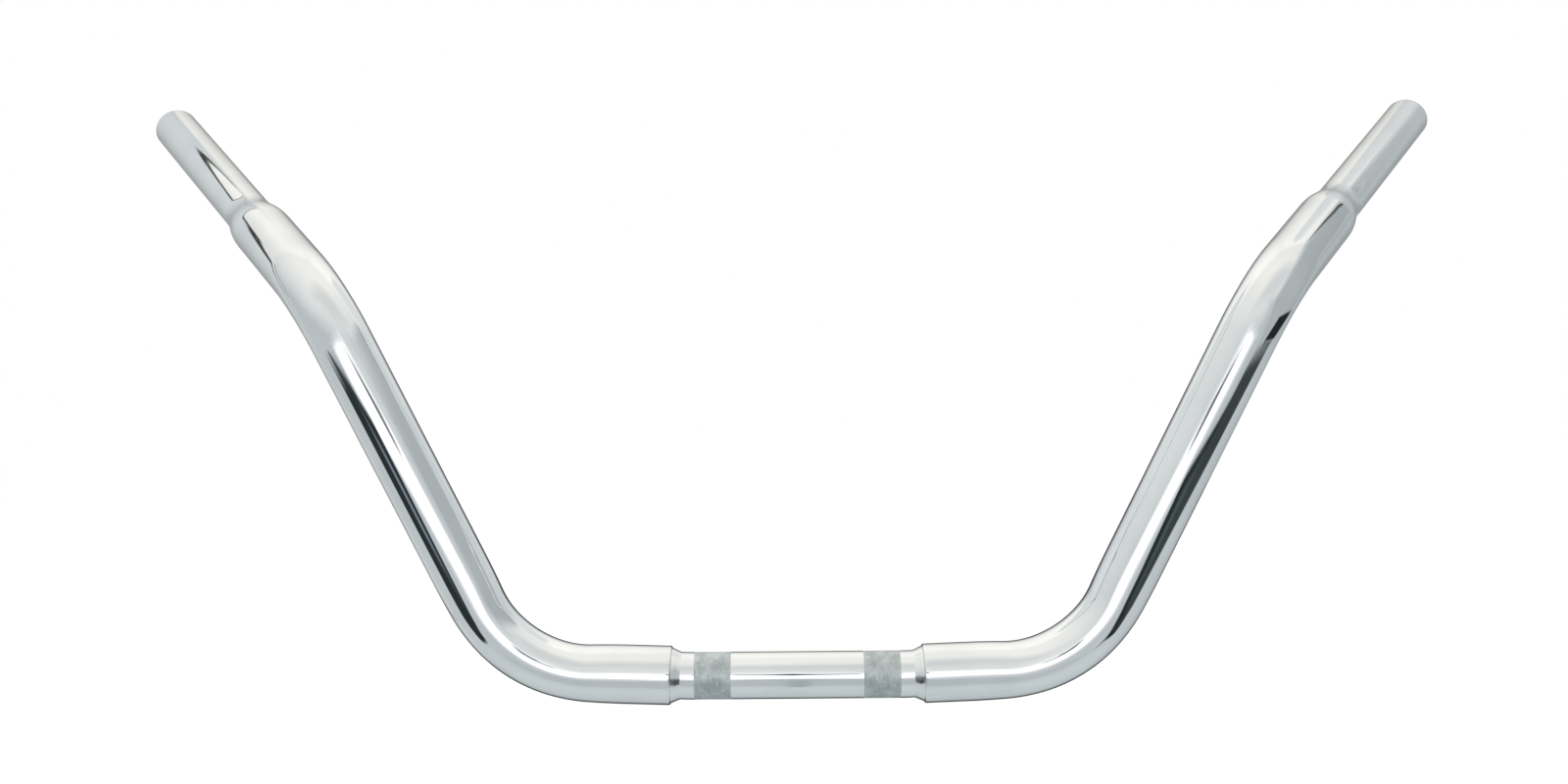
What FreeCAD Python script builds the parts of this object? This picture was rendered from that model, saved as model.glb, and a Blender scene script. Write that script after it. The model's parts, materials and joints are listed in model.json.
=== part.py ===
"""Chromed motorcycle handlebar, welded from bent steel tube. Millimetres.

A 1 inch tube crosses between the two riser clamps. On each side a 1-1/4 inch arm is sleeved over its
end, climbs away from the clamps, bends back towards the rider and necks down to a 1 inch grip tube.
The smaller tubes enter the arms on turned-down spigots, and a dressed ring of weld closes each joint.

Row frame: the origin is the middle of the clamp tube, on its axis. +Z is up, -Y is the road ahead and
+Y the rider, so the rider's left hand is at +X. The arms rise in the XZ plane, which is how such bars
are dimensioned. The left half is drawn, and the right half is its mirror.
"""
import FreeCAD, Part
import math
import os
import re

import Sketcher

Vector = FreeCAD.Vector

# alias, value, meaning
SIZES = [
    ("clamp_diameter", 25.4, "outside of the tube held by the risers"),
    ("arm_diameter", 31.75, "outside of the two bent arms"),
    ("grip_diameter", 25.4, "outside of the grip tubes"),
    ("slim_wall", 3.05, "wall of the clamp tube and of the grip tubes"),
    ("arm_wall", 3.4, "wall of the arms"),
    ("spigot_diameter", 24.7, "outside of the turned-down ends inside the arms"),
    ("spigot_length", 40, "how far such an end runs inside an arm"),
    ("kink_place", 58, "from the middle to the corner where the clamp tube turns up"),
    ("kink_angle", 2, "rise of the clamp tube's ends"),
    ("kink_radius", 120, "radius of that slight turn"),
    ("step_gap", 10, "from that corner to the end face of the arm"),
    ("inner_leg", 96.2, "from that corner to the corner of the riser bend"),
    ("upright_leg", 226, "between the corners of the riser bend and the grip bend"),
    ("upright_angle", 64.5, "slope of the upright leg above the horizontal"),
    ("riser_bend_radius", 70, "centreline radius of the lower bend"),
    ("grip_bend_radius", 60, "centreline radius of the upper bend"),
    ("grip_bend_angle", 51, "turn of the upper bend"),
    ("grip_bend_roll", 64.5, "turn of the upper bend's plane about the upright leg, from outward to back"),
    ("outer_leg", 231, "from the corner of the grip bend to the bar end"),
    ("grip_length", 126, "bare length of the grip tube"),
    ("neck_length", 22.5, "length of the arm's tapered end"),
    ("neck_diameter", 26.4, "outside of that end where it meets the grip tube"),
    ("end_round", 1, "rounding of the bar ends and of the arms' inner ends"),
    ("clamp_bead", 5, "length of the weld between the clamp tube and an arm"),
    ("grip_bead", 2, "length of the weld between an arm and a grip tube"),
]

# Turn of the riser bend, and the tangent lengths that the three bends take from their legs.
RISER_TURN = "(upright_angle - kink_angle)"
KINK_TANGENT = "kink_radius * tan(kink_angle / 2)"
RISER_TANGENT = f"riser_bend_radius * tan({RISER_TURN} / 2)"
GRIP_TANGENT = "grip_bend_radius * tan(grip_bend_angle / 2)"

# How far a cutting profile stands clear of the metal, and the least volume that such a cut can remove.
MARGIN = 2
LEAST_CUT = 100

ALIASES = re.compile(r"\b(" + "|".join(name for name, _, _ in SIZES) + r")\b")

doc = FreeCAD.newDocument("Handlebar")


def driving_sheet():
    """The spreadsheet that every size below is bound to."""
    sheet = doc.addObject("Spreadsheet::Sheet", "Sizes")
    for row, (name, value, meaning) in enumerate(SIZES, start=1):
        sheet.set(f"A{row}", name.replace("_", " "))
        sheet.set(f"B{row}", str(value))
        sheet.setAlias(f"B{row}", name)
        sheet.set(f"C{row}", meaning)
    doc.recompute()
    return sheet


def on_sheet(formula):
    """The formula with each size written as the sheet's own cell."""
    return ALIASES.sub(r"Sizes.\1", formula)


def value(formula):
    """What a formula of sizes comes to now."""
    return float(sizes.evalExpression(on_sheet(formula)))


def bind(thing, path, formula):
    thing.setExpression(path, on_sheet(formula))


def constrain(sketch, name, formula, kind, *elements):
    """A named dimension of the sketch, bound to the sheet."""
    start = value(formula)
    if kind == "Angle":
        start = math.radians(start)
    number = sketch.addConstraint(Sketcher.Constraint(kind, *elements, start))
    sketch.renameConstraint(number, name)
    bind(sketch, f"Constraints.{name}", formula)


def new_body(label):
    body = doc.addObject("PartDesign::Body", label)
    body.Label = label
    return body


def origin_plane(body, role):
    return next(item for item in body.Origin.OriginFeatures if item.Role == role)


def new_sketch(body, name, role, offset=None):
    sketch = body.newObject("Sketcher::SketchObject", f"{body.Name}_{name}")
    sketch.AttachmentSupport = [(origin_plane(body, role), "")]
    sketch.MapMode = "FlatFace"
    if offset:
        bind(sketch, "AttachmentOffset", offset)
    return sketch


def tube_section(body, outside, wall, offset=None):
    """The tube's ring section, square to the body's X axis."""
    sketch = new_sketch(body, "section", "YZ_Plane", offset)
    for ring, diameter in (("outside", outside), ("bore", f"{outside} - 2 * {wall}")):
        circle = sketch.addGeometry(Part.Circle(Vector(0, 0, 0), Vector(0, 0, 1), value(diameter) / 2))
        sketch.addConstraint(Sketcher.Constraint("Coincident", circle, 3, -1, 1))
        constrain(sketch, ring, diameter, "Diameter", circle)
    return sketch


def bent_path(body, name, role, first, radius, turn, last, offset=None):
    """A centreline from the sketch's origin: straight along x, an arc towards y, and straight again."""
    sketch = new_sketch(body, name, role, offset)
    length, bend, angle, rest = value(first), value(radius), math.radians(value(turn)), value(last)
    arc_start = Vector(length, 0, 0)
    arc_end = arc_start + Vector(bend * math.sin(angle), bend * (1 - math.cos(angle)), 0)
    path_end = arc_end + Vector(rest * math.cos(angle), rest * math.sin(angle), 0)
    circle = Part.Circle(Vector(length, bend, 0), Vector(0, 0, 1), bend)
    entry = sketch.addGeometry(Part.LineSegment(Vector(0, 0, 0), arc_start))
    arc = sketch.addGeometry(Part.ArcOfCircle(circle, -math.pi / 2, angle - math.pi / 2))
    leaving = sketch.addGeometry(Part.LineSegment(arc_end, path_end))
    sketch.addConstraint(Sketcher.Constraint("Coincident", entry, 1, -1, 1))
    sketch.addConstraint(Sketcher.Constraint("Horizontal", entry))
    sketch.addConstraint(Sketcher.Constraint("Tangent", entry, 2, arc, 1))
    sketch.addConstraint(Sketcher.Constraint("Tangent", arc, 2, leaving, 1))
    constrain(sketch, "first_straight", first, "Distance", entry)
    constrain(sketch, "bend_radius", radius, "Radius", arc)
    constrain(sketch, "bend_turn", turn, "Angle", leaving)
    constrain(sketch, "last_straight", last, "Distance", leaving)
    return sketch


def tube_along(body, name, section, path):
    pipe = body.newObject("PartDesign::AdditivePipe", f"{body.Name}_{name}")
    pipe.Profile = section
    pipe.Spine = (path, ["Edge1", "Edge2", "Edge3"])
    return pipe


def require_cut(before, after):
    """A cut that points away from the solid removes nothing and reports no fault."""
    if after.Shape.Volume > before.Shape.Volume - LEAST_CUT:
        raise RuntimeError(f"{after.Name} removed no material")


def rim_edge(feature, radius, centre):
    """The name of the circular edge of that radius that lies nearest to a point."""
    rims = []
    for number, edge in enumerate(feature.Shape.Edges, start=1):
        if edge.Closed and abs(edge.Curve.Radius - radius) < 0.01:
            rims.append((edge.Curve.Center.distanceToPoint(centre), f"Edge{number}"))
    return min(rims)[1]


def round_rims(body, name, feature, rims):
    """Rounds the circular edges given as (radius, centre) pairs."""
    fillet = body.newObject("PartDesign::Fillet", f"{body.Name}_{name}")
    fillet.Base = (feature, [rim_edge(feature, radius, centre) for radius, centre in rims])
    bind(fillet, "Radius", "end_round")
    return fillet


def turn_spigot(body, role, start, end, outside, offset=None):
    """Turns the tube down to a spigot from one place to another along the sketch's x axis."""
    sketch = new_sketch(body, "spigot_outline", role, offset)
    near, far = value(start), value(end)
    low, high = value("spigot_diameter / 2"), value(f"{outside} / 2") + MARGIN
    corners = [Vector(near, low, 0), Vector(far, low, 0), Vector(far, high, 0), Vector(near, high, 0)]
    sides = []
    for number, corner in enumerate(corners):
        sides.append(sketch.addGeometry(Part.LineSegment(corners[number - 1], corner)))
    for number, side in enumerate(sides):
        sketch.addConstraint(Sketcher.Constraint("Coincident", sides[number - 1], 2, side, 1))
    for side, direction in zip(sides, ("Vertical", "Horizontal", "Vertical", "Horizontal")):
        sketch.addConstraint(Sketcher.Constraint(direction, side))
    bottom, height = sides[1], sides[2]
    constrain(sketch, "start", start, "DistanceX", -1, 1, bottom, 1)
    constrain(sketch, "end", end, "DistanceX", -1, 1, bottom, 2)
    constrain(sketch, "spigot", "spigot_diameter / 2", "DistanceY", -1, 1, bottom, 1)
    constrain(sketch, "depth", f"({outside} - spigot_diameter) / 2 + {MARGIN}", "Distance", height)
    groove = body.newObject("PartDesign::Groove", f"{body.Name}_spigot")
    groove.Profile = sketch
    groove.ReferenceAxis = (sketch, ["H_Axis"])
    groove.Angle = 360
    return groove


def clamp_tube():
    """The straight tube between the risers, its ends turned up slightly into the arms."""
    body = new_body("clamp_tube")
    section = tube_section(body, "clamp_diameter", "slim_wall")
    path = bent_path(
        body, "path", "XZ_Plane",
        first=f"kink_place - {KINK_TANGENT}",
        radius="kink_radius",
        turn="kink_angle",
        last=f"step_gap + spigot_length - {KINK_TANGENT}",
    )
    half = tube_along(body, "half", section, path)
    doc.recompute()
    spigot = turn_spigot(
        body, "XZ_Plane",
        start="step_gap - clamp_bead",
        end=f"step_gap + spigot_length + {MARGIN}",
        outside="clamp_diameter",
        offset="placement(vector(kink_place; 0; 0); rotation(kink_angle; 0; 0))",
    )
    doc.recompute()
    require_cut(half, spigot)
    mirrored = body.newObject("PartDesign::Mirrored", "clamp_tube_both_halves")
    mirrored.Originals = [half, spigot]
    mirrored.MirrorPlane = (origin_plane(body, "YZ_Plane"), [""])
    body.Tip = mirrored
    return body


def neck_groove(body):
    """Cuts the arm's outer end to a long taper of two tangent arcs, which runs down to the grip tube."""
    neck_start = "(outer_leg - grip_length - neck_length)"
    sketch = new_sketch(
        body, "neck_outline", "XY_Plane",
        f"placement(vector(upright_leg / 2 + {neck_start} * cos(grip_bend_angle); "
        f"{neck_start} * sin(grip_bend_angle); 0); rotation(grip_bend_angle; 0; 0))",
    )
    length, shoulder, lip = value("neck_length"), value("arm_diameter / 2"), value("neck_diameter / 2")
    fall = shoulder - lip
    radius = (length ** 2 + fall ** 2) / (4 * fall)
    sweep = 2 * math.atan(fall / length)
    above = shoulder + MARGIN
    beyond = length + MARGIN
    convex = Part.Circle(Vector(0, shoulder - radius, 0), Vector(0, 0, 1), radius)
    concave = Part.Circle(Vector(length, lip + radius, 0), Vector(0, 0, 1), radius)
    upper = sketch.addGeometry(Part.ArcOfCircle(convex, math.pi / 2 - sweep, math.pi / 2))
    lower = sketch.addGeometry(Part.ArcOfCircle(concave, 1.5 * math.pi - sweep, 1.5 * math.pi))
    corners = [
        Vector(length, lip, 0),
        Vector(beyond, lip, 0),
        Vector(beyond, above, 0),
        Vector(0, above, 0),
        Vector(0, shoulder, 0),
    ]
    sides = [sketch.addGeometry(Part.LineSegment(a, b)) for a, b in zip(corners, corners[1:])]
    for one, other in zip(sides, sides[1:]):
        sketch.addConstraint(Sketcher.Constraint("Coincident", one, 2, other, 1))
    sketch.addConstraint(Sketcher.Constraint("Tangent", upper, 1, lower, 1))
    sketch.addConstraint(Sketcher.Constraint("Equal", upper, lower))
    sketch.addConstraint(Sketcher.Constraint("Coincident", lower, 2, sides[0], 1))
    sketch.addConstraint(Sketcher.Constraint("Coincident", sides[3], 2, upper, 2))
    sketch.addConstraint(Sketcher.Constraint("PointOnObject", upper, 2, -2))
    sketch.addConstraint(Sketcher.Constraint("PointOnObject", upper, 3, -2))
    sketch.addConstraint(Sketcher.Constraint("Vertical", lower, 3, lower, 2))
    sketch.addConstraint(Sketcher.Constraint("Horizontal", sides[0]))
    sketch.addConstraint(Sketcher.Constraint("Vertical", sides[1]))
    sketch.addConstraint(Sketcher.Constraint("Horizontal", sides[2]))
    sketch.addConstraint(Sketcher.Constraint("Vertical", sides[3]))
    sketch.addConstraint(Sketcher.Constraint("Distance", sides[0], MARGIN))
    sketch.addConstraint(Sketcher.Constraint("Distance", sides[3], MARGIN))
    constrain(sketch, "shoulder", "arm_diameter / 2", "DistanceY", -1, 1, upper, 2)
    constrain(sketch, "lip", "neck_diameter / 2", "DistanceY", -1, 1, lower, 2)
    constrain(sketch, "taper", "neck_length", "DistanceX", -1, 1, lower, 2)
    groove = body.newObject("PartDesign::Groove", f"{body.Name}_neck")
    groove.Profile = sketch
    groove.ReferenceAxis = (sketch, ["H_Axis"])
    groove.Angle = 360
    return groove


def arm_tube():
    """The left arm, drawn from the middle of its upright leg, where the planes of both bends meet.

    Its own X runs up that leg and its XY plane holds the upper bend. The lower bend's plane is turned
    about X until it is the bar's upright XZ plane.
    """
    body = new_body("left_arm_tube")
    section = tube_section(body, "arm_diameter", "arm_wall")
    lower = bent_path(
        body, "lower_path", "XY_Plane",
        first=f"upright_leg / 2 - {RISER_TANGENT}",
        radius="riser_bend_radius",
        turn=RISER_TURN,
        last=f"inner_leg - {RISER_TANGENT} - step_gap",
        offset="placement(vector(0; 0; 0); rotation(180; 0; grip_bend_roll))",
    )
    upper = bent_path(
        body, "upper_path", "XY_Plane",
        first=f"upright_leg / 2 - {GRIP_TANGENT}",
        radius="grip_bend_radius",
        turn="grip_bend_angle",
        last=f"outer_leg - {GRIP_TANGENT} - grip_length",
    )
    tube_along(body, "lower_run", section, lower)
    both = tube_along(body, "upper_run", section, upper)
    doc.recompute()
    inner_end = lower.Placement.multVec(lower.Geometry[2].EndPoint)
    rounded = round_rims(body, "inner_end", both, [(value("arm_diameter / 2"), inner_end)])
    groove = neck_groove(body)
    bind(
        body, "Placement",
        "placement(vector("
        "kink_place + inner_leg * cos(kink_angle) + upright_leg / 2 * cos(upright_angle); 0; "
        "inner_leg * sin(kink_angle) + upright_leg / 2 * sin(upright_angle)); "
        "rotation(0; -upright_angle; grip_bend_roll - 90))",
    )
    doc.recompute()
    require_cut(rounded, groove)
    return body


def grip_tube():
    """The left grip tube: its own X runs out along the grip, from 0 at the arm's necked end."""
    body = new_body("left_grip_tube")
    section = tube_section(
        body, "grip_diameter", "slim_wall",
        "placement(vector(0; 0; -spigot_length); rotation(0; 0; 0))",
    )
    pad = body.newObject("PartDesign::Pad", "left_grip_tube_length")
    pad.Profile = section
    bind(pad, "Length", "spigot_length + grip_length")
    doc.recompute()
    bar_end = Vector(value("grip_length"), 0, 0)
    outer_rim = (value("grip_diameter / 2"), bar_end)
    inner_rim = (value("grip_diameter / 2 - slim_wall"), bar_end)
    rounded = round_rims(body, "bar_end", pad, [outer_rim, inner_rim])
    doc.recompute()
    spigot = turn_spigot(
        body, "XY_Plane",
        start=f"-spigot_length - {MARGIN}",
        end="grip_bead",
        outside="grip_diameter",
    )
    doc.recompute()
    require_cut(rounded, spigot)
    bind(
        body, "Placement",
        "left_arm_tube.Placement * placement(vector("
        "upright_leg / 2 + (outer_leg - grip_length) * cos(grip_bend_angle); "
        "(outer_leg - grip_length) * sin(grip_bend_angle); 0); rotation(grip_bend_angle; 0; 0))",
    )
    return body


def weld_bead(label, arm_end, tube, length, place):
    """A ring of weld round the spigot: a cone from the arm's end face down to the smaller tube."""
    cone = doc.addObject("Part::Cone", f"{label}_cone")
    bind(cone, "Radius1", f"{arm_end} / 2")
    bind(cone, "Radius2", f"{tube} / 2")
    bind(cone, "Height", length)
    spigot = doc.addObject("Part::Cylinder", f"{label}_spigot")
    bind(spigot, "Radius", "spigot_diameter / 2")
    bind(spigot, "Height", length)
    bead = doc.addObject("Part::Cut", label)
    bead.Label = label
    bead.Base = cone
    bead.Tool = spigot
    bind(bead, "Placement", place)
    return bead


def clamp_weld():
    """The left weld between the clamp tube and the arm. It runs from the arm's end face to the middle."""
    return weld_bead(
        "left_clamp_weld", "(arm_diameter - 2 * end_round)", "clamp_diameter", "clamp_bead",
        "placement(vector(kink_place + step_gap * cos(kink_angle); 0; step_gap * sin(kink_angle)); "
        "rotation(vector(0; 1; 0); -90 - kink_angle))",
    )


def grip_weld():
    """The left weld between the arm's necked end and the grip tube. It runs outwards."""
    return weld_bead(
        "left_grip_weld", "neck_diameter", "grip_diameter", "grip_bead",
        "left_grip_tube.Placement * placement(vector(0; 0; 0); rotation(vector(0; 1; 0); 90))",
    )


def right_hand(left):
    """The same piece on the other side of the YZ plane."""
    label = left.Label.replace("left_", "right_")
    mirrored = doc.addObject("Part::Mirroring", label)
    mirrored.Label = label
    mirrored.Source = left
    mirrored.Normal = (1, 0, 0)
    mirrored.Base = (0, 0, 0)
    return mirrored


def check(nodes):
    """Stops before anything is written if an object failed or a node isn't one sound solid."""
    for thing in doc.Objects:
        if "Invalid" in thing.State or "Error" in thing.State:
            raise RuntimeError(f"{thing.Label} failed: {thing.State}")
    for node in nodes:
        shape = node.Shape
        if shape.isNull() or not shape.isValid() or len(shape.Solids) != 1:
            raise RuntimeError(f"{node.Label} isn't one valid solid")


sizes = driving_sheet()
left_half = [arm_tube(), grip_tube(), clamp_weld(), grip_weld()]
nodes = [clamp_tube()] + left_half + [right_hand(piece) for piece in left_half]
doc.recompute()
check(nodes)

os.makedirs("parts", exist_ok=True)
for node in nodes:
    node.Shape.exportStep(f"parts/{node.Label}.step")
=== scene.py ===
"""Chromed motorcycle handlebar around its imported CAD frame. Metres, in the row frame.

The origin is the middle of the clamp tube, +Z is up, the camera stands ahead of the bar at -Y, and the
rider's left hand is at +X. Each CAD tube and weld is replaced by a finer mesh of the same size: lower
bends that a bender has flattened a little, hand-dressed necks, knurled clamp bands and smooth weld rings.
"""
import json
import math

import bmesh
import bpy
from mathutils import Matrix, Vector, noise
from mathutils.geometry import intersect_line_line


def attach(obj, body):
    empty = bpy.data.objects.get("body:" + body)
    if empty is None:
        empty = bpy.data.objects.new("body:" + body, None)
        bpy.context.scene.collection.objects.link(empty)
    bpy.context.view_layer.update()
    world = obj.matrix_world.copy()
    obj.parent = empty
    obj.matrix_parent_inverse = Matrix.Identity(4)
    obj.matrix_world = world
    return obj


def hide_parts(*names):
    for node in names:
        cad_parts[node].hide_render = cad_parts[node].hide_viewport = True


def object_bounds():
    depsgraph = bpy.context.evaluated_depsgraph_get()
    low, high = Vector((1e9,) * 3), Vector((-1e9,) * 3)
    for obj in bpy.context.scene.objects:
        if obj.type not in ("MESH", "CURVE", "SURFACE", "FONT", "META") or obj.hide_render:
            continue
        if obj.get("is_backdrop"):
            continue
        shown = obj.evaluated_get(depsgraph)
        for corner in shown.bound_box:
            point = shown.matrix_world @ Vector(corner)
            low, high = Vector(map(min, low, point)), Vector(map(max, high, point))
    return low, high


MM = 0.001

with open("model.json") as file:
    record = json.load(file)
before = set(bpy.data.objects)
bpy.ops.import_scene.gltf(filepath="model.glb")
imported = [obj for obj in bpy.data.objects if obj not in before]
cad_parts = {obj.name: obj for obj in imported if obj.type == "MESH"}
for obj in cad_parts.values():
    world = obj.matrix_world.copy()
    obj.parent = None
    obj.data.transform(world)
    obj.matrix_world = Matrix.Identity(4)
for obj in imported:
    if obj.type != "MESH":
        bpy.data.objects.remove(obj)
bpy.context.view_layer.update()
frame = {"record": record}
MOUNTS = {mount["name"]: mount for mount in frame["record"]["mounts"]}

# The CAD model's driving sizes.
CLAMP_RADIUS = MOUNTS["riser_clamps"]["dims"]["r_mm"] * MM
GRIP_RADIUS = MOUNTS["left_grip"]["dims"]["r_mm"] * MM
BORE_RADIUS = MOUNTS["left_bar_end_bore"]["dims"]["r_mm"] * MM
BARE_GRIP = MOUNTS["left_grip"]["dims"]["length_mm"] * MM
ARM_RADIUS = 15.875 * MM
ARM_BORE = 12.475 * MM
SPIGOT_RADIUS = 12.35 * MM
SPIGOT_LENGTH = 40 * MM
KINK_PLACE = 58 * MM
KINK_ANGLE = math.radians(2)
KINK_RADIUS = 120 * MM
STEP_GAP = 10 * MM
UPRIGHT_ANGLE = math.radians(64.5)
RISER_BEND_RADIUS = 70 * MM
GRIP_BEND_RADIUS = 60 * MM
NECK_LENGTH = 22.5 * MM
END_ROUND = 1 * MM
CLAMP_BEAD = 5 * MM
GRIP_BEAD = 2 * MM

# What only the visual model has.
KNURL_CENTRE = 45.6 * MM
KNURL_WIDTH = 19.8 * MM
KNURL_TEETH = 90
KNURL_PITCH = 2 * math.pi * CLAMP_RADIUS / KNURL_TEETH
KNURL_DEPTH = 0.12 * MM
KNURL_RUN_OUT = 0.6 * MM
KNURL_WEAR = 0.4
# How much the lower bends are flattened, the share of it by which their sides bulge, and how long it
# takes to come and go.
BEND_FLATTENING = 0.058
BEND_BULGE = 0.3
BEND_SHOULDER = 40 * MM
# How much sooner each hand's neck starts to come down, on its lower and on its upper side.
NECK_LEAD = {"left": (1.5 * MM, 1.5 * MM), "right": (0.0, 5.6 * MM)}
# How far the polished walls wander from round. A neck's ripple comes in before it and dies out at its lip.
ARM_RIPPLE = 0.012 * MM
NECK_RIPPLE = 0.07 * MM
GRIP_RIPPLE = 0.01 * MM
WELD_RIPPLE = 0.02 * MM
NECK_FADE = 12 * MM
LIP_FADE = 6 * MM
# How much of the clamp weld's climb is a plain cone. The rest eases into the tubes at both ends.
WELD_CONE = 0.9
# How much of its light the chrome keeps near grazing angles.
CHROME_EDGE = 0.5

# How many faces go round a tube. The clamp tube has four to a knurl tooth.
ARM_SIDES = 160
GRIP_SIDES = 128
CLAMP_SIDES = 4 * KNURL_TEETH
# Radii closer than this are the same wall of a tube.
SAME_WALL = 0.5 * MM


# ---------------------------------------------------------------- the centreline

class Run:
    """A stretch of the centreline, straight or an arc. Distances are along the bar, from its middle."""

    def __init__(self, start, length, place, ahead, back, axis=None, radius=None):
        self.start = start
        self.end = start + length
        self.place = place
        self.ahead = ahead
        self.back = back
        self.axis = axis
        self.radius = radius

    def at(self, distance):
        """The place, the direction along the bar and the direction to the rider's side of the tube."""
        past = distance - self.start
        if self.axis is None:
            return self.place + self.ahead * past, self.ahead, self.back
        turn = Matrix.Rotation(past / self.radius, 3, self.axis)
        centre = self.place + self.axis.cross(self.ahead) * self.radius
        return centre + turn @ (self.place - centre), turn @ self.ahead, turn @ self.back


def bar_corners():
    """The corners of the left half's centreline, from the middle of the bar to its end."""
    grip = MOUNTS["left_grip"]
    outward = Vector(grip["axis"])
    bar_end = Vector(grip["pos_m"]) + outward * (BARE_GRIP / 2 + END_ROUND)
    grip_corner = bar_end - outward * (bar_end.y / outward.y)
    kink = Vector((KINK_PLACE, 0, 0))
    inner_leg = Vector((math.cos(KINK_ANGLE), 0, math.sin(KINK_ANGLE)))
    upright = Vector((math.cos(UPRIGHT_ANGLE), 0, math.sin(UPRIGHT_ANGLE)))
    riser_corner, _ = intersect_line_line(kink, kink + inner_leg, grip_corner, grip_corner + upright)
    return [Vector((0, 0, 0)), kink, riser_corner, grip_corner, bar_end]


def bar_runs():
    """The straights and arcs that join those corners."""
    corners = bar_corners()
    radii = [KINK_RADIUS, RISER_BEND_RADIUS, GRIP_BEND_RADIUS]
    place, back, done = corners[0], Vector((0, 1, 0)), 0.0
    runs = []
    for number, radius in enumerate(radii, start=1):
        ahead = (corners[number] - corners[number - 1]).normalized()
        onward = (corners[number + 1] - corners[number]).normalized()
        angle = ahead.angle(onward)
        straight = (corners[number] - place).length - radius * math.tan(angle / 2)
        runs.append(Run(done, straight, place, ahead, back))
        done += straight
        place = runs[-1].at(done)[0]
        runs.append(Run(done, radius * angle, place, ahead, back, ahead.cross(onward).normalized(), radius))
        done += radius * angle
        place, _, back = runs[-1].at(done)
    runs.append(Run(done, (corners[-1] - place).length, place, onward, back))
    return runs


RUNS = bar_runs()
KINK_BEND, RISER_BEND, GRIP_BEND = RUNS[1], RUNS[3], RUNS[5]
KINK_CORNER = KINK_BEND.start + (KINK_BEND.end - KINK_BEND.start) / 2
ARM_START = KINK_CORNER + STEP_GAP
BAR_END = RUNS[-1].end
GRIP_START = BAR_END - BARE_GRIP - END_ROUND - GRIP_BEAD
NECK_START = GRIP_START - NECK_LENGTH


def line_at(distance):
    """The centreline at a distance along the left half."""
    for run in RUNS:
        if distance < run.end:
            return run.at(distance)
    return RUNS[-1].at(distance)


def mirrored(line):
    """The centreline's place and directions on the other side of the YZ plane."""
    return tuple(Vector((-item.x, item.y, item.z)) for item in line)


# ---------------------------------------------------------------- mesh code

def ease(share):
    """From 0 to 1 along two tangent arcs, as the necks are dressed."""
    share = min(max(share, 0.0), 1.0)
    return 2 * share ** 2 if share < 0.5 else 1 - 2 * (1 - share) ** 2


def spread(start, end, pitch):
    """Evenly spaced distances from start to end, both included."""
    count = max(1, round(abs(end - start) / pitch))
    return [start + (end - start) * step / count for step in range(count + 1)]


def corner_round(distance, radius, size, along, out, steps=6):
    """Stations round a corner's quarter circle, from the tube's wall to the end face.

    along is +1 where the end face looks away from the bar's middle. out is +1 on an outer wall.
    """
    stations = []
    for step in range(steps + 1):
        angle = math.pi / 2 * step / steps
        stations.append((
            distance - along * size * (1 - math.sin(angle)),
            radius - out * size * (1 - math.cos(angle)),
        ))
    return stations


def tube_mesh(name, side, stations, around, worked, materials, pick=None):
    """A closed tube wall: rings of vertices at (distance, radius) stations, the last joined to the first.

    side is +1 for the left half and -1 for its mirror. worked(distance, angle, radius) gives the radius
    after hand work, and pick(distance, radius) gives the material of a ring of faces.
    """
    vertices = []
    for distance, radius in stations:
        place, ahead, back = line_at(distance) if distance >= 0 else mirrored(line_at(-distance))
        up = ahead.cross(back) if distance >= 0 else back.cross(ahead)
        for step in range(around):
            angle = 2 * math.pi * step / around
            reach = worked(distance, angle, radius)
            point = place + (back * math.cos(angle) + up * math.sin(angle)) * reach
            vertices.append((point.x * side, point.y, point.z))
    faces = []
    rings = len(stations)
    for ring in range(rings):
        ahead_ring = (ring + 1) % rings
        for step in range(around):
            beside = (step + 1) % around
            faces.append((
                ring * around + step,
                ring * around + beside,
                ahead_ring * around + beside,
                ahead_ring * around + step,
            ))
    mesh = bpy.data.meshes.new(name)
    mesh.from_pydata(vertices, [], faces)
    for material in materials:
        mesh.materials.append(material)
    if pick:
        for ring, (distance, radius) in enumerate(stations):
            following = stations[(ring + 1) % rings]
            slot = materials.index(pick((distance + following[0]) / 2, (radius + following[1]) / 2))
            for step in range(around):
                mesh.polygons[ring * around + step].material_index = slot
    tidy = bmesh.new()
    tidy.from_mesh(mesh)
    bmesh.ops.recalc_face_normals(tidy, faces=tidy.faces)
    tidy.to_mesh(mesh)
    tidy.free()
    mesh.shade_smooth()
    mesh.set_sharp_from_angle(angle=math.radians(50))
    piece = bpy.data.objects.new(name, mesh)
    bpy.context.scene.collection.objects.link(piece)
    return piece


def ripple(distance, angle, waves_round, waves_along, seed):
    """Slow noise from -1 to 1 over a tube's wall, with so many waves to a radian and to a metre."""
    around = Vector((math.cos(angle), math.sin(angle), 0))
    return noise.noise(around * waves_round + Vector((0, 0, distance * waves_along)) + seed)


def finish_piece(piece, node):
    """The piece stands for its CAD node and rides with it."""
    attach(piece, "root")
    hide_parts(node)
    return piece


# ---------------------------------------------------------------- shader nodes

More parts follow.
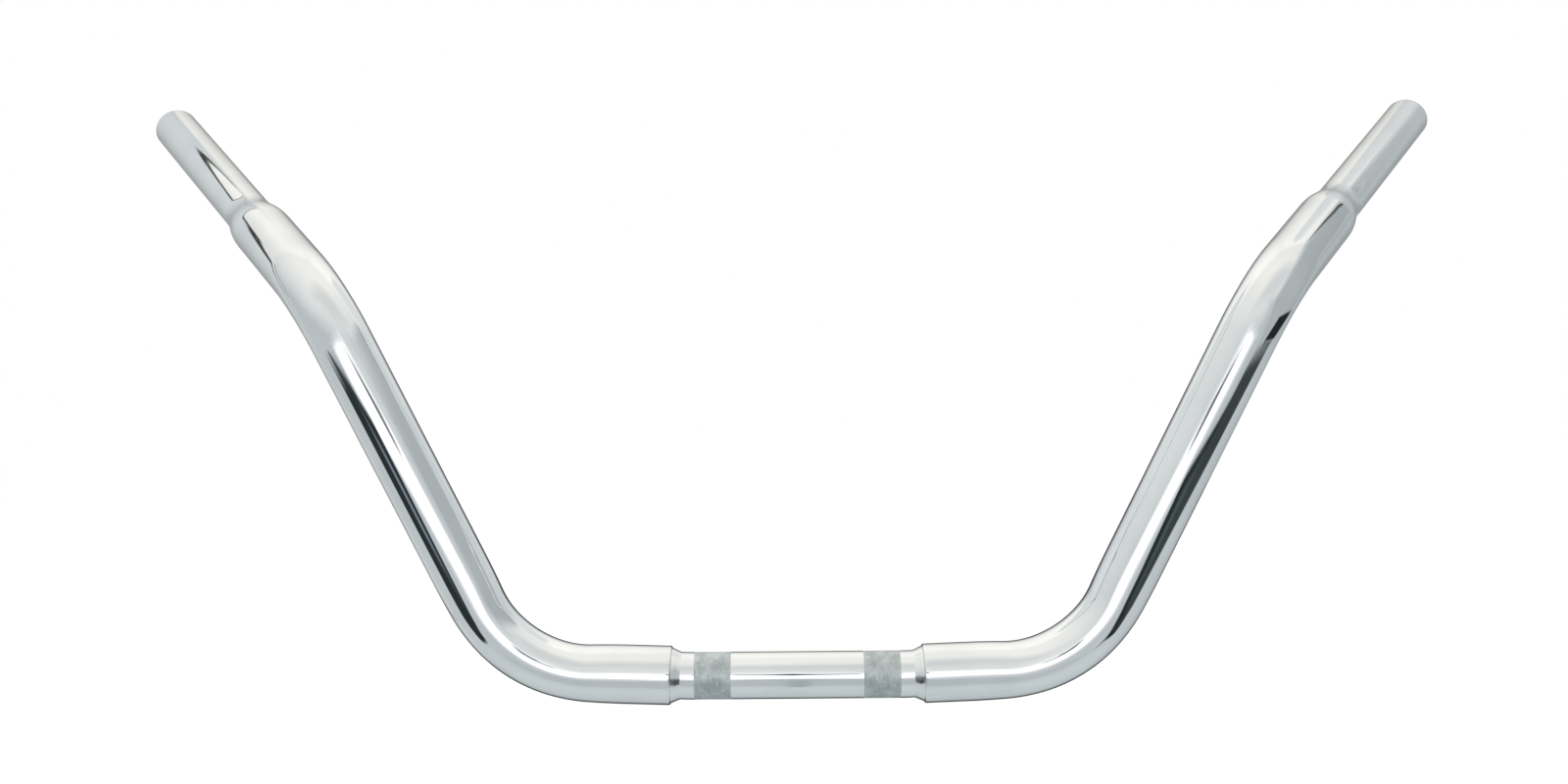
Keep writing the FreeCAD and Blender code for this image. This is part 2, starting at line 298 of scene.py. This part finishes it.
class Tree:
    """A node tree written as formulas."""

    def __init__(self, tree):
        self.tree = tree
        self.tree.nodes.clear()

    def add(self, kind, **settings):
        node = self.tree.nodes.new(kind)
        for key, setting in settings.items():
            setattr(node, key, setting)
        return node

    def feed(self, socket, value):
        if isinstance(value, bpy.types.NodeSocket):
            self.tree.links.new(value, socket)
        else:
            socket.default_value = value

    def math(self, operation, *values):
        node = self.add("ShaderNodeMath", operation=operation)
        for socket, value in zip(node.inputs, values):
            self.feed(socket, value)
        return node.outputs[0]

    def dot(self, vector, fixed):
        node = self.add("ShaderNodeVectorMath", operation="DOT_PRODUCT")
        self.feed(node.inputs[0], vector)
        node.inputs[1].default_value = fixed
        return node.outputs["Value"]

    def ramp(self, value, low, high, to_low=0.0, to_high=1.0):
        """A smooth step of the value from low to high."""
        node = self.add("ShaderNodeMapRange", interpolation_type="SMOOTHSTEP")
        for socket, item in zip(node.inputs, (value, low, high, to_low, to_high)):
            self.feed(socket, item)
        return node.outputs[0]

    def mix(self, share, first, second):
        node = self.add("ShaderNodeMix", data_type="RGBA", clamp_factor=True)
        self.feed(node.inputs[0], share)
        self.feed(node.inputs[6], first)
        self.feed(node.inputs[7], second)
        return node.outputs[2]

    def noise(self, vector, scale, detail=2.0, roughness=0.5):
        node = self.add("ShaderNodeTexNoise")
        self.feed(node.inputs["Vector"], vector)
        node.inputs["Scale"].default_value = scale
        node.inputs["Detail"].default_value = detail
        node.inputs["Roughness"].default_value = roughness
        return node.outputs[0]

    def stretched(self, vector, scales, turn=(0, 0, 0)):
        node = self.add("ShaderNodeMapping")
        self.feed(node.inputs["Vector"], vector)
        node.inputs["Scale"].default_value = scales
        node.inputs["Rotation"].default_value = turn
        return node.outputs[0]

    def bump(self, height, strength, distance, normal=None):
        node = self.add("ShaderNodeBump")
        node.inputs["Strength"].default_value = strength
        node.inputs["Distance"].default_value = distance
        self.feed(node.inputs["Height"], height)
        if normal:
            self.feed(node.inputs["Normal"], normal)
        return node.outputs[0]


def rgb(red, green, blue):
    return (red, green, blue, 1.0)


def display(shown):
    """A light given as its value on a display, as the linear value that the shaders take."""
    return rgb(*(((value + 0.055) / 1.055) ** 2.4 for value in shown))


def metal(name, colour, roughness, normal, edge_tint=1.0):
    """A metal whose colour, roughness and normal come from functions of the tree and the place.

    edge_tint is how much of its light the metal keeps near grazing angles, where chromium reflects least.
    """
    material = bpy.data.materials.new(name)
    material.use_nodes = True
    tree = Tree(material.node_tree)
    place = tree.add("ShaderNodeTexCoord").outputs["Object"]
    shader = tree.add("ShaderNodeBsdfPrincipled")
    shader.inputs["Metallic"].default_value = 1.0
    shader.inputs["Specular Tint"].default_value = rgb(edge_tint, edge_tint, edge_tint)
    tree.feed(shader.inputs["Base Color"], colour(tree, place))
    tree.feed(shader.inputs["Roughness"], roughness(tree, place))
    tree.feed(shader.inputs["Normal"], normal(tree, place))
    output = tree.add("ShaderNodeOutputMaterial")
    tree.feed(output.inputs["Surface"], shader.outputs[0])
    return material


def chrome_material():
    """Mirror-polished plating: faint cloudy film, finest polishing lines and a trace of orange peel."""

    def colour(tree, place):
        film = tree.ramp(tree.noise(place, 38, detail=3), 0.35, 0.7)
        return tree.mix(film, rgb(0.86, 0.87, 0.88), rgb(0.82, 0.835, 0.85))

    def roughness(tree, place):
        film = tree.ramp(tree.noise(place, 55, detail=4, roughness=0.6), 0.45, 0.8, 0.035, 0.075)
        lines = tree.ramp(tree.noise(tree.stretched(place, (900, 900, 60)), 1, detail=2), 0.6, 0.8, 0, 0.03)
        return tree.math("ADD", film, lines)

    def normal(tree, place):
        peel = tree.bump(tree.noise(place, 90, detail=1), 0.05, 0.02 * MM)
        lines = tree.noise(tree.stretched(place, (1400, 1400, 90), (0.3, 0.2, 0)), 1, detail=2)
        return tree.bump(lines, 0.04, 0.01 * MM, peel)

    return metal("mirror_chrome", colour, roughness, normal, CHROME_EDGE)


def knurl_material():
    """The knurled bands: plating over cut diamonds that takes no polish, grey and scuffed."""

    def colour(tree, place):
        patches = tree.ramp(tree.noise(place, 130, detail=3), 0.35, 0.65)
        worn = tree.mix(patches, rgb(0.42, 0.46, 0.47), rgb(0.54, 0.58, 0.59))
        for turn in (0.7, -0.5):
            along = tree.stretched(place, (1000, 1000, 220), (0, turn, 0))
            scratch = tree.ramp(tree.noise(along, 1, detail=2, roughness=0.6), 0.54, 0.72, 0, 0.45)
            worn = tree.mix(scratch, worn, rgb(0.80, 0.83, 0.84))
        return worn

    def roughness(tree, place):
        return tree.ramp(tree.noise(place, 300, detail=3), 0.3, 0.7, 0.38, 0.55)

    def normal(tree, place):
        grain = tree.noise(place, 2600, detail=2, roughness=0.6)
        return tree.bump(grain, 0.35, 0.05 * MM)

    return metal("knurled_plating", colour, roughness, normal)


def weld_material(name, smoothest, softest):
    """Plating over a dressed weld: softer than the tubes, with the last of the ripples in it."""

    def colour(tree, place):
        return tree.mix(tree.noise(place, 120, detail=3), rgb(0.87, 0.88, 0.885), rgb(0.81, 0.825, 0.835))

    def roughness(tree, place):
        return tree.ramp(tree.noise(place, 240, detail=3), 0.3, 0.7, smoothest, softest)

    def normal(tree, place):
        waves = tree.noise(place, 420, detail=2)
        return tree.bump(waves, 0.06, 0.02 * MM)

    return metal(name, colour, roughness, normal, CHROME_EDGE)


def bore_material():
    """Bare steel inside the tubes, dull and drawn, with blooms of plating salts scattered through it."""

    def colour(tree, place):
        stain = tree.ramp(tree.noise(place, 160, detail=4, roughness=0.65), 0.4, 0.7)
        return tree.mix(stain, rgb(0.30, 0.30, 0.31), rgb(0.17, 0.155, 0.145))

    def roughness(tree, place):
        return tree.ramp(tree.noise(place, 200, detail=3), 0.3, 0.7, 0.38, 0.62)

    def normal(tree, place):
        drawn = tree.noise(tree.stretched(place, (300, 300, 900)), 1, detail=3)
        return tree.bump(drawn, 0.3, 0.08 * MM)

    return metal("bare_bore_steel", colour, roughness, normal)


CHROME = chrome_material()
KNURLED = knurl_material()
CLAMP_WELD = weld_material("clamp_weld_plating", smoothest=0.15, softest=0.23)
GRIP_WELD = weld_material("grip_weld_plating", smoothest=0.045, softest=0.10)
BORE = bore_material()


# ---------------------------------------------------------------- the pieces

def hump(distance, run, shoulder):
    """1 along a bend, easing to 0 over a shoulder length at both of its ends."""
    rise = ease((distance - run.start + shoulder / 2) / shoulder)
    fall = ease((run.end - distance + shoulder / 2) / shoulder)
    return rise * fall


def knurl_relief(distance, angle):
    """How deep the crossed knurling cuts at a place on the clamp tube: 0 outside the bands."""
    from_centre = abs(abs(distance) - KNURL_CENTRE)
    edge = ease((KNURL_WIDTH / 2 - from_centre) / KNURL_RUN_OUT)
    if edge == 0:
        return 0.0
    across = angle * CLAMP_RADIUS / KNURL_PITCH
    along = distance / KNURL_PITCH
    cuts = [abs(2 * ((across + way * along) % 1.0) - 1) for way in (1, -1)]
    kept = 1 - KNURL_WEAR + KNURL_WEAR * noise.noise(Vector((distance * 500, angle * 6, 3)))
    return edge * kept * KNURL_DEPTH * max(cuts) ** 2


def clamp_tube():
    """The slim middle tube: knurled bands, a mirror finish between them, and a spigot at each end."""
    shoulder = ARM_START - CLAMP_BEAD
    tube_end = ARM_START + SPIGOT_LENGTH
    band_start, band_end = KNURL_CENTRE - KNURL_WIDTH / 2, KNURL_CENTRE + KNURL_WIDTH / 2
    half = [(d, CLAMP_RADIUS) for d in spread(0, band_start, pitch=4 * MM)]
    half += [(d, CLAMP_RADIUS) for d in spread(band_start, band_end, KNURL_PITCH / 4)[1:]]
    half += [(d, CLAMP_RADIUS) for d in spread(band_end, shoulder, pitch=1 * MM)[1:]]
    half += [(d, SPIGOT_RADIUS) for d in spread(shoulder, tube_end, pitch=10 * MM)]
    bore = [(d, BORE_RADIUS) for d in spread(tube_end, 0, pitch=10 * MM)]
    outer = [(-d, r) for d, r in reversed(half[1:])] + half
    inner = bore + [(-d, r) for d, r in reversed(bore[:-1])]

    def worked(distance, angle, radius):
        return radius - knurl_relief(distance, angle) if radius == CLAMP_RADIUS else radius

    def pick(distance, radius):
        if radius < SPIGOT_RADIUS - SAME_WALL:
            return BORE
        return KNURLED if abs(abs(distance) - KNURL_CENTRE) < KNURL_WIDTH / 2 else CHROME

    piece = tube_mesh(
        "clamp_tube_chromed", 1, outer + inner, CLAMP_SIDES, worked, (CHROME, KNURLED, BORE), pick
    )
    return finish_piece(piece, "clamp_tube")


def neck_radius(distance, angle, hand):
    """The outside of an arm's neck and of the weld after it, down to the grip tube."""
    lower_lead, upper_lead = NECK_LEAD[hand]
    lead = lower_lead + (upper_lead - lower_lead) * (1 + math.sin(angle)) / 2
    fall = ease((distance - NECK_START + lead) / (NECK_LENGTH + GRIP_BEAD))
    return ARM_RADIUS + (GRIP_RADIUS - ARM_RADIUS) * fall


def arm_tube(hand, side):
    """A thick arm. Its lower bend is a little flat, and its neck was dressed down by hand."""
    stations = corner_round(ARM_START, ARM_RADIUS, END_ROUND, -1, 1)[::-1]
    shoulder = NECK_START - max(NECK_LEAD[hand])
    stations += [(d, ARM_RADIUS) for d in spread(ARM_START + END_ROUND, shoulder, pitch=2 * MM)[1:]]
    stations += [(d, ARM_RADIUS) for d in spread(shoulder, GRIP_START, pitch=0.7 * MM)[1:]]
    stations += [(d, ARM_BORE) for d in spread(GRIP_START, ARM_START, pitch=6 * MM)]
    seed = Vector((11 * side, 3, 7))

    def worked(distance, angle, radius):
        if radius == ARM_BORE:
            return radius
        in_plane = math.sin(angle) ** 2
        flat = BEND_FLATTENING * hump(distance, RISER_BEND, BEND_SHOULDER)
        radius *= 1 - flat * in_plane + BEND_BULGE * flat * (1 - in_plane)
        if distance > shoulder:
            radius = neck_radius(distance, angle, hand)
        near_neck = ease((distance - NECK_START + NECK_FADE) / NECK_FADE)
        near_lip = ease((GRIP_START - distance) / LIP_FADE)
        height = (ARM_RIPPLE + NECK_RIPPLE * near_neck) * near_lip
        return radius + height * ripple(distance, angle, waves_round=1.3, waves_along=38, seed=seed)

    def pick(distance, radius):
        return BORE if radius < (ARM_BORE + ARM_RADIUS) / 2 else CHROME

    piece = tube_mesh(f"{hand}_arm_chromed", side, stations, ARM_SIDES, worked, (CHROME, BORE), pick)
    return finish_piece(piece, f"{hand}_arm_tube")


def grip_tube(hand, side):
    """The bare grip end: rounded rims, an open bore, and a spigot inside the arm."""
    shoulder = GRIP_START + GRIP_BEAD
    stations = [(d, SPIGOT_RADIUS) for d in spread(GRIP_START - SPIGOT_LENGTH, shoulder, pitch=8 * MM)]
    stations += [(d, GRIP_RADIUS) for d in spread(shoulder, BAR_END - END_ROUND, pitch=2.5 * MM)[:-1]]
    stations += corner_round(BAR_END, GRIP_RADIUS, END_ROUND, 1, 1, steps=8)
    stations += corner_round(BAR_END, BORE_RADIUS, END_ROUND, 1, -1, steps=8)[::-1]
    bore = spread(BAR_END - END_ROUND, GRIP_START - SPIGOT_LENGTH, pitch=5 * MM)
    stations += [(d, BORE_RADIUS) for d in bore[1:]]
    seed = Vector((5 * side, 9, 2))

    def worked(distance, angle, radius):
        if radius != GRIP_RADIUS:
            return radius
        return radius + GRIP_RIPPLE * ripple(distance, angle, waves_round=1.2, waves_along=30, seed=seed)

    def pick(distance, radius):
        return BORE if radius < BORE_RADIUS + SAME_WALL and distance < BAR_END - END_ROUND else CHROME

    piece = tube_mesh(f"{hand}_grip_tube_chromed", side, stations, GRIP_SIDES, worked, (CHROME, BORE), pick)
    return finish_piece(piece, f"{hand}_grip_tube")


def clamp_weld(hand, side):
    """The dressed ring of weld in the step from the arm down to the clamp tube."""
    start, end = ARM_START - CLAMP_BEAD, ARM_START
    top = ARM_RADIUS - END_ROUND
    stations = [(start, SPIGOT_RADIUS)]
    for distance in spread(start, end, pitch=0.15 * MM):
        share = (distance - start) / CLAMP_BEAD
        climb = WELD_CONE * share + (1 - WELD_CONE) * ease(share)
        stations.append((distance, CLAMP_RADIUS + (top - CLAMP_RADIUS) * climb))
    stations.append((end, SPIGOT_RADIUS))
    seed = Vector((2, 8 * side, 5))

    def worked(distance, angle, radius):
        if radius == SPIGOT_RADIUS:
            return radius
        height = WELD_RIPPLE * math.sin(math.pi * (distance - start) / CLAMP_BEAD)
        return radius + height * ripple(distance, angle, waves_round=3, waves_along=300, seed=seed)

    piece = tube_mesh(f"{hand}_clamp_weld_chromed", side, stations, ARM_SIDES, worked, (CLAMP_WELD,))
    return finish_piece(piece, f"{hand}_clamp_weld")


def grip_weld(hand, side):
    """The thin ring of weld where the neck meets the grip tube."""
    start, end = GRIP_START, GRIP_START + GRIP_BEAD
    stations = [(start, SPIGOT_RADIUS)]
    stations += [(d, GRIP_RADIUS) for d in spread(start, end, pitch=0.15 * MM)]
    stations.append((end, SPIGOT_RADIUS))

    def worked(distance, angle, radius):
        return radius if radius == SPIGOT_RADIUS else neck_radius(distance, angle, hand)

    piece = tube_mesh(f"{hand}_grip_weld_chromed", side, stations, ARM_SIDES, worked, (GRIP_WELD,))
    return finish_piece(piece, f"{hand}_grip_weld")


# ---------------------------------------------------------------- studio

FLOOR_DROP = 1.7
FLOOR_RADIUS = 12.0
FLOOR_SIDES = 96
FLOOR_PAPER = 0.35
FLOOR_GLOW = 0.72
CAMERA_PLACE = (-0.00507, -0.82854, 0.24267)
CAMERA_TURN = tuple(math.radians(angle) for angle in (83.9069, 0.4911, 0.0043))
CAMERA_LENS = 35.994

# The tent's cloth far from the bar: its light at each height, given as the sine of the elevation.
TENT = [
    (-1.00, (0.80, 0.83, 0.84)),
    (-0.83, (0.82, 0.85, 0.86)),
    (-0.55, (0.79, 0.82, 0.825)),
    (0.00, (0.77, 0.79, 0.80)),
    (0.28, (0.865, 0.88, 0.88)),
    (0.53, (0.92, 0.93, 0.92)),
    (0.74, (0.955, 0.96, 0.945)),
    (0.90, (0.99, 0.985, 0.965)),
    (1.00, (1.00, 0.995, 0.975)),
]

# Far panels, each with its corners' azimuth and elevation, the softness of its edges, all in degrees, and
# its light. Azimuth 0 is towards the camera and +90 towards +X. A later panel covers an earlier one.
PANELS = [
    ("rear_side_left", [(98, -48), (98, 16), (150, 16), (150, -48)], 14, (0.80, 0.82, 0.83)),
    ("rear_side_right", [(-92, -48), (-92, 24), (-150, 24), (-150, -48)], 14, (0.88, 0.90, 0.905)),
    ("rear_glow_left", [(98, 8), (103, 62), (150, 82), (-165, 78), (-165, 20), (150, 8)], 14,
     (1.06, 1.055, 1.03)),
    ("rear_glow_right", [(-98, 8), (-103, 62), (-150, 82), (165, 78), (165, 20), (-150, 8)], 14,
     (1.06, 1.055, 1.03)),
    ("behind", [(137, -42), (136, 24), (180, 16), (-136, 24), (-137, -42), (180, -60)], 10,
     (0.32, 0.33, 0.34)),
    ("front_top", [(-45, 28), (-35, 68), (20, 80), (78, 66), (80, 26), (25, 20)], 24,
     (0.875, 0.885, 0.88)),
]

# Cards and openings that stand close round the bar. Each has the wall that it stands in and its distance,
# its corners along that wall in metres, the softness of its edges in metres (one for all of them, or one
# for each edge from its first corner on) and its light.
CARDS = [
    ("camera_stand", "front", 0.86, [(-0.012, -0.1), (-0.012, -0.9), (0.028, -0.9), (0.028, -0.1)],
     [0.016, 0.1, 0.016, 0.15], (0.68, 0.705, 0.715)),
    ("camera_lens", "front", 0.83, [(-0.05, 0.26), (0.0, 0.36), (0.05, 0.26), (0.0, 0.16)], 0.03,
     (0.36, 0.37, 0.38)),
    ("camera_body", "front", 0.84,
     [(-0.12, 0.25), (-0.10, 0.32), (0.10, 0.32), (0.12, 0.25), (0.0, 0.18)], 0.03,
     (0.66, 0.67, 0.68)),
    ("right_doorway_glow", "front", 0.88,
     [(-1.15, -0.13), (-0.68, -0.08), (-0.62, -0.32), (-1.1, -0.52)], 0.12,
     (0.50, 0.54, 0.59)),
    ("right_doorway", "front", 0.90,
     [(-0.47, 0.05), (-1.3, -0.19), (-1.3, -1.05), (-1.08, -0.95), (-0.80, -0.68), (-0.55, -0.33)], 0.05,
     (0.17, 0.20, 0.20)),
    ("left_doorway_glow", "front", 0.88, [(0.50, -0.06), (1.3, -0.26), (1.2, -0.72), (0.68, -0.36)], 0.10,
     (0.30, 0.345, 0.345)),
    ("left_doorway", "front", 0.90,
     [(0.32, 0.04), (1.3, -0.22), (1.3, -1.05), (0.90, -0.80), (0.55, -0.36), (0.39, -0.12)], 0.05,
     (0.16, 0.19, 0.19)),
    ("left_hall", "left", 0.90,
     [(-1.3, -0.06), (0.10, -0.05), (-0.2, -0.25), (-0.5, -0.55), (-1.3, -1.3)], 0.06,
     (0.24, 0.27, 0.27)),
    ("left_hall_step", "left", 0.90, [(-0.58, -0.09), (-0.27, 0.12), (0.30, 0.03), (-0.10, -0.10)], 0.02,
     (0.14, 0.16, 0.16)),
    ("right_hall", "right", 0.90,
     [(-1.3, -0.06), (-0.30, -0.065), (-0.37, -0.43), (-0.546, -0.73), (-1.3, -0.8)], 0.08,
     (0.17, 0.20, 0.20)),
    ("table", "front", 0.92, [(0, 0.01), (-0.80, -0.66), (-0.2, -0.85), (0.2, -0.85), (0.80, -0.66)],
     [0.06, 0.3, 0.3, 0.3, 0.06], (0.75, 0.775, 0.785)),
    ("front_board_core", "front", 0.93,
     [(-0.74, 0.04), (-0.33, 0.30), (0, 0.42), (0.25, 0.37), (0.50, 0.15), (0.1, -0.08), (-0.50, -0.08)],
     0.13, (1.2, 1.2, 1.2)),
    ("front_board", "front", 0.94, [(-0.82, 0.10), (0, 0.70), (0.76, 0.14), (0, -0.34)], 0.34,
     (1.05, 1.05, 1.05)),
    ("grey_front", "front", 0.95, [(0.40, -0.25), (0.40, 1.0), (1.8, 1.0), (1.8, -0.25)],
     [0.5, 0.6, 0.1, 0.2], (0.77, 0.795, 0.80)),
    ("left_curtain_fold", "left", 0.905, [(0.25, -0.30), (0.25, 0.80), (0.40, 0.80), (0.40, -0.30)],
     [0.008, 0.06, 0.12, 0.05], (0.77, 0.795, 0.80)),
    ("left_curtain", "left", 0.91, [(0.25, -0.30), (0.25, 0.80), (0.50, 1.05), (1.1, 0.95), (1.7, -0.30)],
     [0.008, 0.16, 0.35, 0.4, 0.05], (0.84, 0.865, 0.87)),
    ("left_curtain_hem", "left", 0.915, [(0.224, 0.71), (0.236, 0.97), (0.275, 0.97), (0.26, 0.71)],
     [0.008, 0.03, 0.008, 0.03], (0.36, 0.37, 0.37)),
    ("left_drape", "left", 0.93, [(0.25, -0.30), (0.25, 0.90), (0.70, 2.6), (2.4, 2.6), (2.0, -0.30)],
     [0.02, 0.2, 0.5, 0.6, 0.1], (0.935, 0.945, 0.94)),
    ("grey_wall", "left", 0.94, [(-1.4, -0.22), (-1.1, 0.95), (-0.3, 1.12), (0.6, 1.12), (0.6, -0.18)],
     [0.3, 0.45, 0.22, 0.1, 0.2], (0.715, 0.74, 0.745)),
    ("right_curtain_cord", "right", 0.90, [(0.05, 0.16), (0.10, 0.16), (0.17, 0.46), (0.12, 0.46)], 0.03,
     (0.50, 0.50, 0.49)),
    ("right_curtain", "right", 0.91,
     [(0.20, -0.50), (0.20, 0.60), (0.262, 0.74), (1.262, 2.46), (1.7, -0.50)],
     [0.008, 0.008, 0.008, 0.7, 0.05], (0.90, 0.92, 0.92)),
    ("right_curtain_hem", "right", 0.915,
     [(0.182, -0.50), (0.182, 0.604), (0.244, 0.75), (0.76, 1.637), (1.0, 1.5), (1.0, -0.50)],
     [0.006, 0.006, 0.006, 0.1, 0.1, 0.05], (0.26, 0.25, 0.23)),
]
WALLS = {
    "front": (Vector((0, -1, 0)), Vector((1, 0, 0))),
    "left": (Vector((1, 0, 0)), Vector((0, 1, 0))),
    "right": (Vector((-1, 0, 0)), Vector((0, 1, 0))),
}


def bearing(azimuth, elevation):
    """The unit vector that looks that way from the bar."""
    turn, rise = math.radians(azimuth), math.radians(elevation)
    return Vector((math.sin(turn) * math.cos(rise), -math.cos(turn) * math.cos(rise), math.sin(rise)))


def inside_share(tree, place, planes):
    """1 well inside all the planes, falling to 0 at the nearest one.

    Each plane has its normal, its offset and the depth over which it fades.
    """
    inside = None
    for normal, offset, fade in planes:
        depth = tree.math("SUBTRACT", tree.dot(place, normal / fade), offset / fade)
        inside = depth if inside is None else tree.math("MINIMUM", inside, depth)
    return tree.ramp(inside, 0.0, 1.0)


def each_edge(softness, count):
    """The softness of every edge, from one number for all of them or a list."""
    return softness if isinstance(softness, list) else [softness] * count


def panel_planes(corners, softness):
    """The planes through the bar and each edge of a far panel."""
    points = [bearing(*corner) for corner in corners]
    middle = sum(points, Vector())
    planes = []
    for first, second, soft in zip(points, points[1:] + points[:1], each_edge(softness, len(points))):
        normal = first.cross(second).normalized()
        planes.append((normal if normal.dot(middle) > 0 else -normal, 0.0, math.sin(math.radians(soft))))
    return planes


def light_tent():
    """The world: a soft white tent for light and reflections, and plain white behind the bar."""
    world = bpy.data.worlds.new("light_tent")
    world.use_nodes = True
    tree = Tree(world.node_tree)
    looking = tree.add("ShaderNodeTexCoord").outputs["Generated"]
    height = tree.math("MULTIPLY_ADD", tree.dot(looking, (0, 0, 1)), 0.5, 0.5)
    ramp = tree.add("ShaderNodeValToRGB")
    stops = ramp.color_ramp.elements
    while len(stops) < len(TENT):
        stops.new(0.5)
    for stop, (place, shown) in zip(stops, TENT):
        stop.position = place / 2 + 0.5
        stop.color = display(shown)
    tree.feed(ramp.inputs[0], height)
    light = ramp.outputs[0]
    for _, corners, softness, shown in PANELS:
        share = inside_share(tree, looking, panel_planes(corners, softness))
        light = tree.mix(share, light, display(shown))
    seen = tree.add("ShaderNodeLightPath").outputs["Is Camera Ray"]
    light = tree.mix(seen, light, rgb(1.0, 1.0, 1.0))
    background = tree.add("ShaderNodeBackground")
    tree.feed(background.inputs["Color"], light)
    background.inputs["Strength"].default_value = 1.0
    output = tree.add("ShaderNodeOutputWorld")
    tree.feed(output.inputs["Surface"], background.outputs[0])
    bpy.context.scene.world = world


def card_material(name, points, facing, softness, shown):
    """Flat light with soft edges, clear outside its corners."""
    middle = sum(points, Vector()) / len(points)
    planes = []
    for first, second, soft in zip(points, points[1:] + points[:1], each_edge(softness, len(points))):
        normal = (second - first).cross(facing).normalized()
        if normal.dot(middle - first) < 0:
            normal.negate()
        planes.append((normal, normal.dot(first), soft))
    material = bpy.data.materials.new(name)
    material.use_nodes = True
    tree = Tree(material.node_tree)
    place = tree.add("ShaderNodeTexCoord").outputs["Object"]
    glow = tree.add("ShaderNodeEmission")
    glow.inputs["Color"].default_value = display(shown)
    clear = tree.add("ShaderNodeBsdfTransparent")
    both = tree.add("ShaderNodeMixShader")
    tree.feed(both.inputs[0], inside_share(tree, place, planes))
    tree.feed(both.inputs[1], clear.outputs[0])
    tree.feed(both.inputs[2], glow.outputs[0])
    output = tree.add("ShaderNodeOutputMaterial")
    tree.feed(output.inputs["Surface"], both.outputs[0])
    return material


def studio_card(name, wall, distance, corners, softness, shown):
    """A card or an opening in the tent. Only the chrome sees it."""
    facing, along = WALLS[wall]
    points = [facing * distance + along * reach + Vector((0, 0, rise)) for reach, rise in corners]
    mesh = bpy.data.meshes.new(name)
    mesh.from_pydata([tuple(point) for point in points], [], [tuple(range(len(points)))])
    mesh.materials.append(card_material(name, points, facing, softness, shown))
    piece = bpy.data.objects.new(name, mesh)
    bpy.context.scene.collection.objects.link(piece)
    piece.visible_camera = False
    piece.visible_diffuse = False
    piece.visible_shadow = False
    piece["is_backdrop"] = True


def floor_material():
    """Pale paper that glows a little, so that it is nearly as white as the tent."""
    material = bpy.data.materials.new("pale_floor")
    material.use_nodes = True
    tree = Tree(material.node_tree)
    paper = tree.add("ShaderNodeBsdfDiffuse")
    paper.inputs["Color"].default_value = rgb(FLOOR_PAPER, FLOOR_PAPER, FLOOR_PAPER)
    glow = tree.add("ShaderNodeEmission")
    glow.inputs["Color"].default_value = rgb(1, 1, 1)
    glow.inputs["Strength"].default_value = FLOOR_GLOW
    both = tree.add("ShaderNodeAddShader")
    tree.feed(both.inputs[0], paper.outputs[0])
    tree.feed(both.inputs[1], glow.outputs[0])
    output = tree.add("ShaderNodeOutputMaterial")
    tree.feed(output.inputs["Surface"], both.outputs[0])
    return material


def studio_floor():
    """A wide pale floor, well below the bar. Only the camera sees it, so the tent lights the chrome."""
    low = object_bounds()[0].z - FLOOR_DROP
    rim = []
    for step in range(FLOOR_SIDES):
        angle = 2 * math.pi * step / FLOOR_SIDES
        rim.append((FLOOR_RADIUS * math.cos(angle), FLOOR_RADIUS * math.sin(angle), low))
    mesh = bpy.data.meshes.new("studio_floor")
    mesh.from_pydata(rim, [], [tuple(range(FLOOR_SIDES))])
    mesh.materials.append(floor_material())
    floor = bpy.data.objects.new("studio_floor", mesh)
    bpy.context.scene.collection.objects.link(floor)
    floor.visible_glossy = False
    floor.visible_diffuse = False
    floor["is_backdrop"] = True


def studio_camera():
    """The viewing angle: ahead of the bar, level with its upper bends, looking slightly down."""
    data = bpy.data.cameras.new("studio_camera")
    data.sensor_width = 36
    data.lens = CAMERA_LENS
    camera = bpy.data.objects.new("studio_camera", data)
    camera.location = CAMERA_PLACE
    camera.rotation_euler = CAMERA_TURN
    bpy.context.scene.collection.objects.link(camera)
    bpy.context.scene.camera = camera


# ---------------------------------------------------------------- the whole

clamp_tube()
for hand, side in (("left", 1), ("right", -1)):
    arm_tube(hand, side)
    grip_tube(hand, side)
    clamp_weld(hand, side)
    grip_weld(hand, side)

light_tent()
for item in CARDS:
    studio_card(*item)
studio_floor()
studio_camera()
bpy.context.scene.view_settings.view_transform = "Standard"
